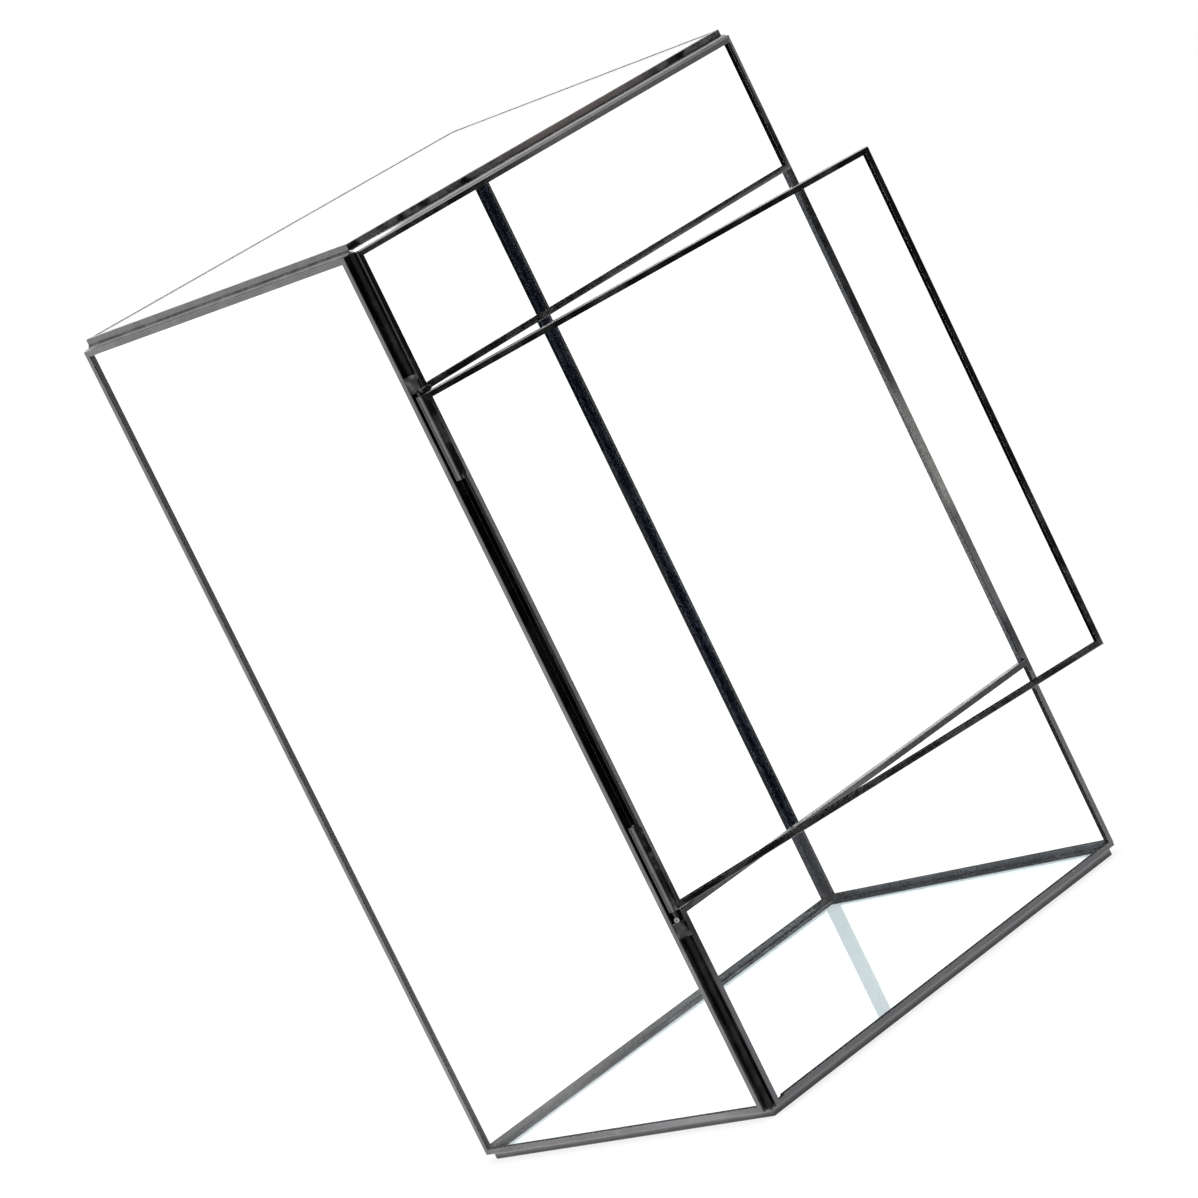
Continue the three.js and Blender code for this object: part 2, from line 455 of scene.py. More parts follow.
@dataclass(frozen=True)
class Finishes:
    """The plain finishes of the terrarium, to some of which the box and the door add stains,
    painted shade and painted light.
    """

    edging: PatinaMetal = PatinaMetal(
        "edging_patina", (0.115, 0.115, 0.120), (0.150, 0.142, 0.138), (0.24, 0.22, 0.21), matt=0.2
    )
    roof: PatinaMetal = PatinaMetal(
        "roof_patina", (0.110, 0.108, 0.112), (0.120, 0.112, 0.110), (0.26, 0.24, 0.23),
        matt=0.9, patch=5 * MM, grain=0.9 * MM, cover=(0.36, 0.60),
    )
    # Near-black solder in the front-left groove: dark patina, made darker still as painted shade of
    # the groove.
    groove: PatinaMetal = PatinaMetal(
        "groove_patina_and_shade", (0.009, 0.009, 0.010), (0.016, 0.016, 0.017), (0.03, 0.029, 0.028),
        matt=0.1, patch=6 * MM, lump=0.15,
    )
    # The foil's inner faces, seen through the glass: a darker, bluish copy of the edging, which is
    # painted shade.
    backing: PatinaMetal = PatinaMetal(
        "foil_back_painted_shade", (0.024, 0.029, 0.036), (0.037, 0.043, 0.052), (0.06, 0.066, 0.072),
        rough=0.4, lump=0.12,
    )
    solder: PatinaMetal = PatinaMetal(
        "solder_patina", (0.11, 0.11, 0.115), (0.15, 0.15, 0.15), (0.26, 0.25, 0.24),
        matt=0.2, patch=5 * MM, smooth=0.16, rough=0.30, lump=0.3,
    )
    bright: PatinaMetal = PatinaMetal(
        "bright_solder", (0.125, 0.125, 0.13), (0.15, 0.148, 0.145), (0.34, 0.33, 0.32),
        matt=0.2, patch=7 * MM, grain=1.0 * MM, smooth=0.2, rough=0.34, lump=0.35,
    )
    tube: PatinaMetal = PatinaMetal(
        "tube_patina_and_shadow", (0.115, 0.115, 0.122), (0.14, 0.138, 0.14), (0.20, 0.19, 0.19),
        matt=0.1, patch=5 * MM, smooth=0.24, rough=0.34, lump=0.12,
    )
    anchor: PatinaMetal = PatinaMetal(
        "anchor_patina", (0.036, 0.036, 0.038), (0.075, 0.075, 0.074), (0.12, 0.115, 0.11),
        matt=0.15, patch=1.8 * MM, grain=0.7 * MM, smooth=0.2, rough=0.34, lump=0.3,
    )
    glass: ClearGlass = ClearGlass(
        "pane_glass", (0.998, 1.0, 0.999), (0.990, 0.997, 0.995), (0.98, 0.985, 0.983)
    )

    def materials(self) -> Materials:
        """Writes the finishes that are used as they are.

        Returns:
            The materials by slot or name.
        """
        plain = {
            Slot.EDGING: self.edging,
            Slot.SOLDER: self.solder,
            Slot.GLASS: self.glass,
            "groove": self.groove,
            "backing": self.backing,
            "anchor": self.anchor,
        }
        return {name: finish.material() for name, finish in plain.items()}


# Mesh making


def mesh_data(name: str, bm: Mesh) -> bpy.types.Mesh:
    """Writes a mesh.

    Args:
        name: its name.
        bm: the mesh that it was shaped in, which is freed.

    Returns:
        The written mesh.
    """
    made = bpy.data.meshes.new(name)
    bm.to_mesh(made)
    bm.free()
    return made


def linked(name: str, data: bpy.types.ID) -> bpy.types.Object:
    """Adds an object to the scene.

    Args:
        name: its name.
        data: its mesh, light or camera.

    Returns:
        The object.
    """
    made = bpy.data.objects.new(name, data)
    bpy.context.scene.collection.objects.link(made)
    return made


def piece(
    name: str,
    bm: Mesh,
    material: Material,
    body: Body,
    nodes: Iterable[str],
    smooth: bool = False,
    backing: Material | None = None,
) -> None:
    """Turns a mesh into a piece of the terrarium.

    Args:
        name: the piece's name.
        bm: its mesh, in the row's frame. It is freed.
        material: its material.
        body: the body that it moves with.
        nodes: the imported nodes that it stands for.
        smooth: shade its faces smooth.
        backing: the material of its faces that are marked as inside.
    """
    for face in bm.faces:
        face.smooth = smooth
    mesh = mesh_data(name, bm)
    mesh.materials.append(material)
    if backing:
        mesh.materials.append(backing)
    if smooth:
        mesh.set_sharp_from_angle(angle=SHARP)
    made = linked(name, mesh)
    replaced = list(nodes)
    if replaced:
        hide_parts(*replaced)
    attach(made, body.value)
    log.info("%s: %d faces, stands for %d nodes", name, len(mesh.polygons), len(replaced))


def near(first: float, second: float) -> bool:
    """Whether two lengths are the same."""
    return abs(first - second) < NEAR


def unique(items: Iterable[Any]) -> list[Any]:
    """The items in their own order, each once."""
    return list(dict.fromkeys(items))


def face_order(face: Face) -> int:
    """A face's place among the others, which depends on nothing but its corners' numbers.

    Args:
        face: the face, of a mesh whose vertices are numbered.

    Returns:
        A number that no other face has.
    """
    first, second, third = sorted(v.index for v in face.verts)[:3]
    return (first * MOST_VERTS + second) * MOST_VERTS + third


def settled(bm: Mesh, matrix: Matrix | None = None) -> Mesh:
    """Moves a mesh to its place, merges doubled vertices and points every face outwards.

    The operators make faces in any order, so they are sorted: every run gives the same mesh.

    Args:
        bm: the mesh.
        matrix: the way from its own frame to the row's, or none if it is there already.

    Returns:
        The same mesh.
    """
    if matrix is not None:
        bmesh.ops.transform(bm, matrix=matrix, verts=bm.verts)
    bmesh.ops.remove_doubles(bm, verts=bm.verts, dist=NEAR)
    bmesh.ops.recalc_face_normals(bm, faces=bm.faces)
    bm.verts.index_update()
    bm.faces.sort(key=face_order)
    return bm


def placed(corner: Vector, x: Vector, y: Vector) -> Matrix:
    """The place of a pane in the row's frame.

    Args:
        corner: the corner of its inner face where its own x and y start.
        x: the direction across it.
        y: the direction up it.

    Returns:
        The matrix from the pane's own frame.
    """
    turned = Matrix((x, y, x.cross(y))).transposed().to_4x4()
    return Matrix.Translation(corner) @ turned


def block(width: float, height: float, depth: float) -> Mesh:
    """A plain block around the origin.

    Args:
        width: its size along x.
        height: its size along y.
        depth: its size along z.

    Returns:
        The mesh.
    """
    bm = bmesh.new()
    bmesh.ops.create_cube(bm, size=1.0)
    bmesh.ops.scale(bm, vec=(width, height, depth), verts=bm.verts)
    return bm


def extruded(bm: Mesh, faces: Sequence[Face]) -> tuple[list[Face], list[Vert]]:
    """Extrudes faces and leaves none of the old ones inside.

    Args:
        bm: the mesh.
        faces: the faces, joined to each other.

    Returns:
        The faces at the far end and their corners, not yet moved.
    """
    edges = unique(e for f in faces for e in f.edges)
    made = bmesh.ops.extrude_face_region(bm, geom=[*faces, *edges])["geom"]
    return [f for f in made if isinstance(f, Face)], [v for v in made if isinstance(v, Vert)]


def bar(outline: Iterable[Sequence[float]], steps: int, stride: Vector) -> Mesh:
    """Draws an outline out into a bar.

    Args:
        outline: the corners of the bar's first end, in order.
        steps: how many steps the bar has.
        stride: how far each step goes.

    Returns:
        The mesh.
    """
    bm = bmesh.new()
    face = bm.faces.new([bm.verts.new(corner) for corner in outline])
    for _ in range(steps):
        (face,), moved = extruded(bm, [face])
        bmesh.ops.translate(bm, vec=stride, verts=moved)
    return bm


def round_off(bm: Mesh, edges: list[bmesh.types.BMEdge], width: float, segments: int) -> None:
    """Rounds edges.

    Args:
        bm: the mesh.
        edges: the edges to round.
        width: how far the rounding reaches on each side.
        segments: how many faces it has.
    """
    bmesh.ops.bevel(
        bm, geom=edges, offset=width, offset_type="OFFSET", affect="EDGES",
        segments=segments, profile=0.5, material=-1, clamp_overlap=True,
    )


# Pieces


@dataclass
class EdgedPane:
    """One pane's metal edging: a frame of U-shaped section that holds the glass.

    Its own frame has x across the pane, y up it and z through it, from the inner face outwards.
    """

    name: str
    width: float
    height: float
    placed: Matrix
    nodes: list[str]
    body: Body = Body.BOX
    thickness: float = 3.2 * MM
    face: float = 1.9 * MM
    skin: float = 0.1 * MM
    wall: float = 0.38 * MM
    play: float = 0.02 * MM
    rounding: float = 0.26 * MM
    rounding_steps: int = 3
    arris: float = 0.15 * MM
    lap: Range | None = None
    lap_slope: float = 0.25 * MM
    widened: float = 0.0
    crown: float = 0.0
    crown_steps: int = 6

    def _seat(self) -> Matrix:
        """The way to the row's frame from the frame around the pane's middle."""
        middle = (self.width / 2, self.height / 2, self.thickness / 2)
        return self.placed @ Matrix.Translation(middle)

    def mesh(self) -> Mesh:
        """Shapes the edging.

        Returns:
            The mesh, in the row's frame.
        """
        bm = block(self.width, self.height, self.thickness)
        sides = [f for f in bm.faces if abs(f.normal.z) > 0.5]
        bmesh.ops.inset_individual(
            bm, faces=sides, thickness=self.face, depth=0.0, use_even_offset=True
        )
        loops = [e for f in sides for e in f.edges]
        bmesh.ops.delete(bm, geom=sides, context="FACES_ONLY")
        walls = bmesh.ops.bridge_loops(bm, edges=loops)["faces"]
        self._slot(bm, walls)
        self._soften(bm)
        self._mark_inside(bm)
        if self.lap:
            self._lap(bm, *self.lap)
        if self.widened:
            inner = self.face - self.width / 2
            edge = [v for v in bm.verts if near(v.co.x, inner)]
            bmesh.ops.translate(bm, vec=X * self.widened, verts=edge)
        return settled(bm, self._seat())

    def _slot(self, bm: Mesh, walls: list[Face]) -> None:
        """Sinks the slot that the glass sits in.

        Args:
            bm: the mesh, centred on the pane.
            walls: the faces around the pane's opening.
        """
        bmesh.ops.recalc_face_normals(bm, faces=bm.faces)
        bmesh.ops.inset_region(
            bm, faces=walls, thickness=self.skin, depth=0.0, use_even_offset=True, use_boundary=True
        )
        half_width = self.width / 2 - self.face
        half_height = self.height / 2 - self.face
        reach = self.face - self.wall
        _, moved = extruded(bm, walls)
        grow = ((half_width + reach) / half_width, (half_height + reach) / half_height, 1.0)
        bmesh.ops.scale(bm, vec=grow, verts=moved)

    def _mark_inside(self, bm: Mesh) -> None:
        """Marks the faces that take the foil's painted shade: the inner side, and the glass's slot.

        Args:
            bm: the mesh, centred on the pane.
        """
        for f in bm.faces:
            middle = f.calc_center_median()
            inner = middle.z < self.skin - self.thickness / 2 + NEAR
            low = abs(middle.z) < self.thickness / 2 - self.skin + NEAR
            across = abs(middle.x) < self.width / 2 - self.wall + NEAR
            upward = abs(middle.y) < self.height / 2 - self.wall + NEAR
            f.material_index = 1 if (inner or low) and across and upward else 0

    def _soften(self, bm: Mesh) -> None:
        """Rounds the outer edges, as solder does, and the top front edge more if it has a crown.

        Args:
            bm: the mesh, centred on the pane.
        """
        side, top, front = self.width / 2, self.height / 2, self.thickness / 2
        bmesh.ops.recalc_face_normals(bm, faces=bm.faces)
        if self.crown:
            brow = [
                e
                for e in bm.edges
                if all(near(v.co.y, top) and near(v.co.z, front) for v in e.verts)
            ]
            round_off(bm, brow, self.crown, self.crown_steps)
        outer = [
            e
            for e in bm.edges
            if all(near(abs(v.co.x), side) or near(abs(v.co.y), top) for v in e.verts)
            and not near(sum(v.co.z for v in e.verts), 0.0)
        ]
        round_off(bm, outer, self.rounding, self.rounding_steps)

    def _lap(self, bm: Mesh, start: float, drop: float) -> None:
        """Narrows the lower rail beside its left end, where the foil was lapped.

        Args:
            bm: the mesh, centred on the pane.
            start: where the full face begins, from the pane's left edge.
            drop: how much narrower the rail is before that.
        """
        for place in (start, start + self.lap_slope):
            bmesh.ops.bisect_plane(
                bm,
                geom=[*bm.verts, *bm.edges, *bm.faces],
                plane_co=(place - self.width / 2, 0, 0),
                plane_no=X,
            )
        top = self.face - self.height / 2
        for v in bm.verts:
            if v.co.x < start - self.width / 2 + NEAR and near(v.co.y, top):
                v.co.y -= drop

    def glass(self) -> Mesh:
        """Shapes the pane of glass in the edging.

        Returns:
            The mesh, in the row's frame.
        """
        low, high = self.wall + self.play, self.skin + self.play
        bm = block(self.width - 2 * low, self.height - 2 * low, self.thickness - 2 * high)
        round_off(bm, bm.edges[:], self.arris, 1)
        # The glass's edge faces, in the slot, take the foil's painted shade.
        for f in bm.faces:
            f.material_index = 0 if abs(f.normal.z) > 0.5 else 1
        return settled(bm, self._seat())

    def build(self, materials: Materials) -> None:
        """Makes the edging's piece and the glass's piece.

        Args:
            materials: the materials by slot or name.
        """
        rows = (
            ("edging", self.mesh(), Slot.EDGING, self.nodes, self.crown > 0),
            ("pane", self.glass(), Slot.GLASS, [f"{self.name}_glass"], False),
        )
        back = materials["backing"]
        for end, bm, slot, nodes, smooth in rows:
            name = f"{self.name}_{end}"
            piece(name, bm, materials[slot], self.body, nodes, smooth, backing=back)


@dataclass
class SolderSeam:
    """Solder along the bottom of a groove, uneven along its length.

    Its section is a corner with two legs. The profile lists the points between their ends, as
    shares of how far the legs reach.
    """

    name: str
    start: Vector
    along: Vector
    length: float
    legs: tuple[Vector, Vector]
    nodes: list[str]
    finish: str = Slot.SOLDER
    reach: Range = (1.4 * MM, 1.4 * MM)
    profile: tuple[Range, ...] = ((0.52, 0.25), (0.25, 0.52))
    step: float = 3.0 * MM
    wander: float = 0.12 * MM
    ripple: float = 4 * MM

    def mesh(self) -> Mesh:
        """Shapes the seam.

        Returns:
            The mesh, in the row's frame.
        """
        first, second = self.legs
        wide, tall = self.reach
        section = [(0.0, 0.0), (1.0, 0.0), *self.profile, (0.0, 1.0)]
        outline = [self.start + first * (wide * a) + second * (tall * b) for a, b in section]
        steps = max(2, round(self.length / self.step))
        bm = bar(outline, steps, self.along * (self.length / steps))
        for v in bm.verts:
            out = v.co - self.start
            reach = Vector((out.dot(first), out.dot(second)))
            if reach.length > NEAR:
                swell = self.wander / wide * noise.noise(v.co / self.ripple)
                v.co += (first * reach.x + second * reach.y) * swell
        return settled(bm)

    def build(self, materials: Materials) -> None:
        """Makes the seam's piece.

        Args:
            materials: the materials by slot or name.
        """
        finish = materials[self.finish]
        name = f"solder_{self.name}"
        piece(name, self.mesh(), finish, Body.BOX, self.nodes, smooth=True)


@dataclass
class SolderLump:
    """The lump of solder over the end of the upper front pane's lower rail."""

    corner: Vector
    half: Triple = (2.7 * MM, 1.6 * MM, 1.35 * MM)
    offset: Triple = (1.2 * MM, -2.1 * MM, 0.45 * MM)
    flat: float = 0.57 * MM
    uneven: float = 0.16
    ripples: float = 1.7
    seed: Triple = (2, 5, 3)

    def mesh(self) -> Mesh:
        """Shapes the lump, which is flat below.

        Returns:
            The mesh, in the row's frame.
        """
        bm = bmesh.new()
        bmesh.ops.create_icosphere(bm, subdivisions=4, radius=1.0)
        for v in bm.verts:
            v.co *= 1 + self.uneven * noise.noise(v.co * self.ripples + Vector(self.seed))
        bmesh.ops.scale(bm, vec=self.half, verts=bm.verts)
        bmesh.ops.translate(bm, vec=self.corner + Vector(self.offset), verts=bm.verts)
        for v in bm.verts:
            v.co.z = max(v.co.z, self.corner.z - self.flat)
        return settled(bm)


@dataclass
class Carcass:
    """The fixed box: seven panes with their edging, and the solder in its grooves."""

    low: Vector
    size: Vector
    opening: Range
    anchors: Range
    lap: Range = (4.4 * MM, 0.55 * MM)
    crown: float = 0.8 * MM
    bead_reach: float = 0.5 * MM
    bead_gap: float = 0.04 * MM

    @classmethod
    def from_frame(cls) -> "Carcass":
        """Reads the box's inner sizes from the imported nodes.

        Returns:
            The carcass.
        """
        floor_low, floor_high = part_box("floor_edge_front")
        roof_low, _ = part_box("roof_edge_front")
        _, side_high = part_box("floor_edge_right")
        low = Vector((floor_low.x, floor_low.y, floor_high.z))
        size = Vector((floor_high.x, side_high.y, roof_low.z)) - low
        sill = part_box("front_lower_edge_top")[1].z
        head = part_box("front_upper_edge_bottom")[0].z
        ends = (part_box("hinge_anchor_lower")[0].z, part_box("hinge_anchor_upper")[1].z)
        return cls(low, size, (sill, head), ends)

    def corner(self, x: float, y: float, z: float) -> Vector:
        """A corner of the inner box, each share 0 or 1."""
        return self.low + Vector((self.size.x * x, self.size.y * y, self.size.z * z))

    def panes(self) -> list[EdgedPane]:
        """The seven fixed panes.

        Returns:
            Their edging.
        """
        sill, head = self.opening
        wide, deep, high = self.size
        top = self.low.z + high
        upper = Vector((self.low.x, self.low.y, head))
        rows = (
            ("left", deep, high, self.corner(0, 1, 0), -Y, Z),
            ("right", deep, high, self.corner(1, 0, 0), Y, Z),
            ("rear", wide, high, self.corner(1, 1, 0), -X, Z),
            ("front_lower", wide, sill - self.low.z, self.low, X, Z),
            ("front_upper", wide, top - head, upper, X, Z),
            ("roof", wide, deep, self.corner(0, 0, 1), X, Y),
            ("floor", wide, deep, self.corner(0, 1, 0), X, -Y),
        )
        own = {"front_lower": {"lap": self.lap}, "front_upper": {"crown": self.crown}}
        made = []
        for name, width, height, corner, x, y in rows:
            nodes = sorted(n for n in frame["nodes"] if n.startswith(f"{name}_edge_"))
            where = placed(corner, x, y)
            made.append(EdgedPane(name, width, height, where, nodes, **own.get(name, {})))
        return made

    def seams(self) -> list[SolderSeam]:
        """The solder in the box's grooves, and the bead beside the hinge.

        Returns:
            The seams.
        """
        wide, deep, high = self.size
        sill, head = self.opening
        lower, upper = self.anchors
        top = self.low.z + high
        rows: list[tuple[str, Vector, Vector, float, Vector, Vector]] = []
        for end, level, out in (("top", 1, Z), ("bottom", 0, -Z)):
            rows += [
                (f"{end}_front", self.corner(0, 0, level), X, wide, -Y, out),
                (f"{end}_rear", self.corner(0, 1, level), X, wide, Y, out),
                (f"{end}_left", self.corner(0, 0, level), Y, deep, -X, out),
                (f"{end}_right", self.corner(1, 0, level), Y, deep, X, out),
            ]
        right_head = Vector((self.low.x + wide, self.low.y, head))
        left_head = Vector((self.low.x, self.low.y, upper))
        rows += [
            ("rear_left", self.corner(0, 1, 0), Z, high, -X, Y),
            ("rear_right", self.corner(1, 1, 0), Z, high, X, Y),
            ("front_right_lower", self.corner(1, 0, 0), Z, sill - self.low.z, X, -Y),
            ("front_right_upper", right_head, Z, top - head, X, -Y),
            ("front_left_lower", self.low, Z, lower - self.low.z, -X, -Y),
            ("front_left_upper", left_head, Z, top - upper, -X, -Y),
        ]
        crest = ((0.92, 0.28), (0.72, 0.58), (0.42, 0.84))
        own: dict[str, dict[str, Any]] = {
            "top_front": {"finish": "bright", "reach": (2.45 * MM, 1.2 * MM), "profile": crest},
            "bottom_front": {"finish": "base_solder"},
            "bottom_left": {"finish": "base_solder"},
            "front_left_lower": {"finish": "groove"},
            "front_left_upper": {"finish": "groove"},
        }
        made = [
            SolderSeam(name, start, way, length, (a, b), [f"seam_{name}"], **own.get(name, {}))
            for name, start, way, length, a, b in rows
        ]
        side = Vector((self.low.x, self.low.y + self.bead_gap, sill))
        reach, profile = (self.bead_reach, self.bead_reach), ((0.87, 0.5), (0.5, 0.87))
        bead = SolderSeam("hinge_side", side, Z, head - sill, (X, Y), [], "groove", reach, profile)
        return [*made, bead]

    def stain(self, colour: Triple, *spans: Span, matt: float = 0.0) -> Stain:
        """A stain whose spans are measured from the inner box's low corner."""
        return Stain(colour, matt, self.low, spans)

    def front_stains(self) -> dict[str, tuple[Stain, ...]]:
        """Where the metal that faces out has another tone: stains, and painted shade and painted
        light.

        Returns:
            The stains by the name of their finish.
        """
        wide, _, high = self.size
        sill = self.opening[0] - self.low.z
        edge = EdgedPane.thickness - 0.12 * MM
        # Near-black metal beside the front-left groove: patina pooled in the groove, and painted
        # shade of the groove.
        pooled_and_shaded = self.stain(
            (0.014, 0.014, 0.016), *(Span(way, -edge, 1.0 * MM, 0.08 * MM) for way in (X, Y))
        )
        # Darker at the lower front pane's top left corner, down to 22 mm below its top.
        darker_left_end = self.stain(
            (0.04, 0.04, 0.041),
            Span(X, -edge, 5 * MM, 2 * MM),
            Span(Z, sill - 22 * MM, sill + 1 * MM, 9 * MM),
        )
        duller = self.stain(
            (0.054, 0.054, 0.057),
            Span(X, 0.55 * wide, 1.1 * wide, 0.07 * wide),
            Span(Z, sill - 4 * MM, sill - 0.3 * MM, 0.1 * MM),
        )
        streaked = self.stain(
            (0.105, 0.102, 0.096),
            Span(X, 0.42 * wide, 1.2 * wide, 0.12 * wide),
            Span(Z, high - EdgedPane.face, high + 1 * MM, 0.1 * MM),
            matt=0.9,
        )
        foot = self.stain((0.05, 0.05, 0.052), Span(Z, -4 * MM, -1.9 * MM, 0.5 * MM))
        brown = Span(X, 0.40 * wide, 0.80 * wide, 0.10 * wide)
        # Painted reflection on the right pane's front rail: a light band at mid height, with dark
        # bands above and below it.
        post_light_rows = (
            ((0.055, 0.056, 0.06), 0.595, 0.80, 0.02),
            ((0.29, 0.282, 0.27), 0.425, 0.565, 0.018),
            ((0.04, 0.041, 0.043), 0.24, 0.29, 0.015),
        )
        post = tuple(
            self.stain(tone, self.front_strip(), Span(Z, low * high, top * high, fade * high))
            for tone, low, top, fade in post_light_rows
        )
        return {
            "beside_hinge": (pooled_and_shaded,),
            "sill": (pooled_and_shaded, darker_left_end, duller),
            "base": (foot,),
            "post": post,
            "brow": (pooled_and_shaded, streaked),
            "roof": (self.stain((0.125, 0.108, 0.104), brown, matt=0.95),),
            "bright": (self.stain((0.66, 0.65, 0.63), Span(X, -9 * MM, 16 * MM, 9 * MM)),),
        }

    def back_stains(self) -> dict[str, tuple[Stain, ...]]:
        """Where the foil's back, seen through the glass, has painted shade and painted light.

        Returns:
            The stains by the name of their finish.
        """
        wide, deep, high = self.size
        inside = Span(Z, -1 * MM, 4 * MM, 0.5 * MM)
        right_half = Span(X, 0.52 * wide, 1.2 * wide, 0.14 * wide)
        # Painted shade on the far corner's column, tinted blue as the glass shows it.
        rear_column_shade, right_column_shade = (
            self.stain(
                (0.028, 0.035, 0.056), Span(way, far - 4 * MM, far + 4 * MM, 0.5 * MM), matt=0.22
            )
            for way, far in ((X, wide), (Y, deep))
        )
        # Painted light on the rear pane's lowest strip, stronger on its right half.
        behind = self.stain((0.080, 0.083, 0.088), inside)
        painted_light_far_rail = self.stain((0.135, 0.14, 0.147), inside, right_half)
        rear_strip = Span(Y, deep - 2.2 * MM, deep + 1 * MM, 0.2 * MM)
        # Painted reflection on the right pane's front rail, seen through the glass: lighter at mid
        # height.
        middle = Span(Z, 0.25 * high, 0.7 * high, 0.14 * high)
        jamb_painted_reflection = self.stain((0.085, 0.086, 0.088), self.front_strip(), middle)
        return {
            "rear_back_painted_light": (rear_column_shade, behind, painted_light_far_rail),
            # Painted highlight along the floor's rear rail, on its right half.
            "floor_back_painted_highlight": (self.stain((0.38, 0.385, 0.39), rear_strip, right_half),),
            "jamb_back_painted_light": (right_column_shade, jamb_painted_reflection),
        }

    def front_strip(self) -> Span:
        """The depth of the right pane's front rail."""
        return Span(Y, -4 * MM, 4 * MM, 0.5 * MM)

    def finishes(self) -> Materials:
        """Writes the finishes that only the box has, most of them with stains, painted shade and
        painted light along it.

        Returns:
            The materials by name.
        """
        known = Finishes()
        stained = {**self.front_stains(), **self.back_stains()}
        changed: dict[str, dict[str, Any]] = {key: {"stains": row} for key, row in stained.items()}
        changed["base_solder"] = {"rubbed": (0.26, 0.25, 0.25)}
        changed["floor_glass"] = {"clear": (0.85, 0.955, 0.985), "tinted": (0.84, 0.945, 0.975)}
        rows: tuple[tuple[str, Finish, str], ...] = (
            ("beside_hinge", known.edging, "beside_hinge"),
            ("sill", known.edging, "sill_patina_and_shade"),
            ("base", known.edging, "base_patina"),
            ("base_solder", known.bright, "base_solder"),
            ("rear_back_painted_light", known.backing, "rear_back_painted_light"),
            ("floor_back_painted_highlight", known.backing, "floor_back_painted_highlight"),
            ("jamb_back_painted_light", known.backing, "jamb_back_painted_light"),
            ("post", known.edging, "post_patina_and_painted_light"),
            ("brow", known.edging, "brow_patina_and_shade"),
            ("roof", known.roof, "roof_patina"),
            ("bright", known.bright, "bright_solder"),
            ("floor_glass", known.glass, "floor_glass"),
        )
        return {
            key: replace(finish, name=name, **changed[key]).material()
            for key, finish, name in rows
        }

    def build(self, materials: Materials) -> None:
        """Makes the edging and the solder, and dresses the glass.

        Args:
            materials: the materials by slot or name.
        """
        materials = {**materials, **self.finishes()}
        dressed = {
            "left": {Slot.EDGING: "beside_hinge"},
            "right": {Slot.EDGING: "post", "backing": "jamb_back_painted_light"},
            "rear": {"backing": "rear_back_painted_light"},
            "front_lower": {Slot.EDGING: "sill"},
            "front_upper": {Slot.EDGING: "brow"},
            "roof": {Slot.EDGING: "roof"},
            "floor": {Slot.EDGING: "base", Slot.GLASS: "floor_glass", "backing": "floor_back_painted_highlight"},
        }
        for pane in self.panes():
            own = {key: materials[name] for key, name in dressed[pane.name].items()}
            pane.build({**materials, **own})
        for seam in self.seams():
            seam.build(materials)
        lump = SolderLump(Vector((self.low.x, self.low.y, self.opening[1]))).mesh()
        piece("solder_lump", lump, materials["anchor"], Body.BOX, [], smooth=True)


@dataclass
class TubeSolder:
    """The solder that joins a hinge tube to the door's edging.

    Its own frame stands on the hinge axis of the closed door. The section is in millimetres.
    """

    low: float
    high: float
    section: tuple[Range, ...] = (
        (0.10, -1.52), (0.55, -1.47), (0.95, -1.36), (1.35, -1.37), (1.9, -1.36),
        (2.1, -1.28), (1.6, -1.1), (0.9, -1.0), (0.3, -1.3),
    )
    core: Range = (1.1 * MM, -1.05 * MM)
    steps: int = 18
    tapered: float = 0.12
    taper: float = 0.6
    uneven: float = 0.12
    ripple: float = 2.5 * MM
    fullest: float = 1.05

    def mesh(self, where: Matrix) -> Mesh:
        """Shapes the solder, which tapers at both ends.

        Args:
            where: the way from its own frame to the row's.

        Returns:
            The mesh, in the row's frame.
        """
        length = self.high - self.low
        outline = [(x * MM, y * MM, self.low) for x, y in self.section]
        bm = bar(outline, self.steps, Z * (length / self.steps))
        for v in bm.verts:
            share = (v.co.z - self.low) / length
            end = max(0.0, abs(2 * share - 1) - (1 - self.tapered)) / self.tapered
            grow = 1 - self.taper * end**2 + self.uneven * noise.noise(v.co / self.ripple)
            centre = Vector((*self.core, v.co.z))
            v.co = centre + (v.co - centre) * min(grow, self.fullest)
        return settled(bm, where)


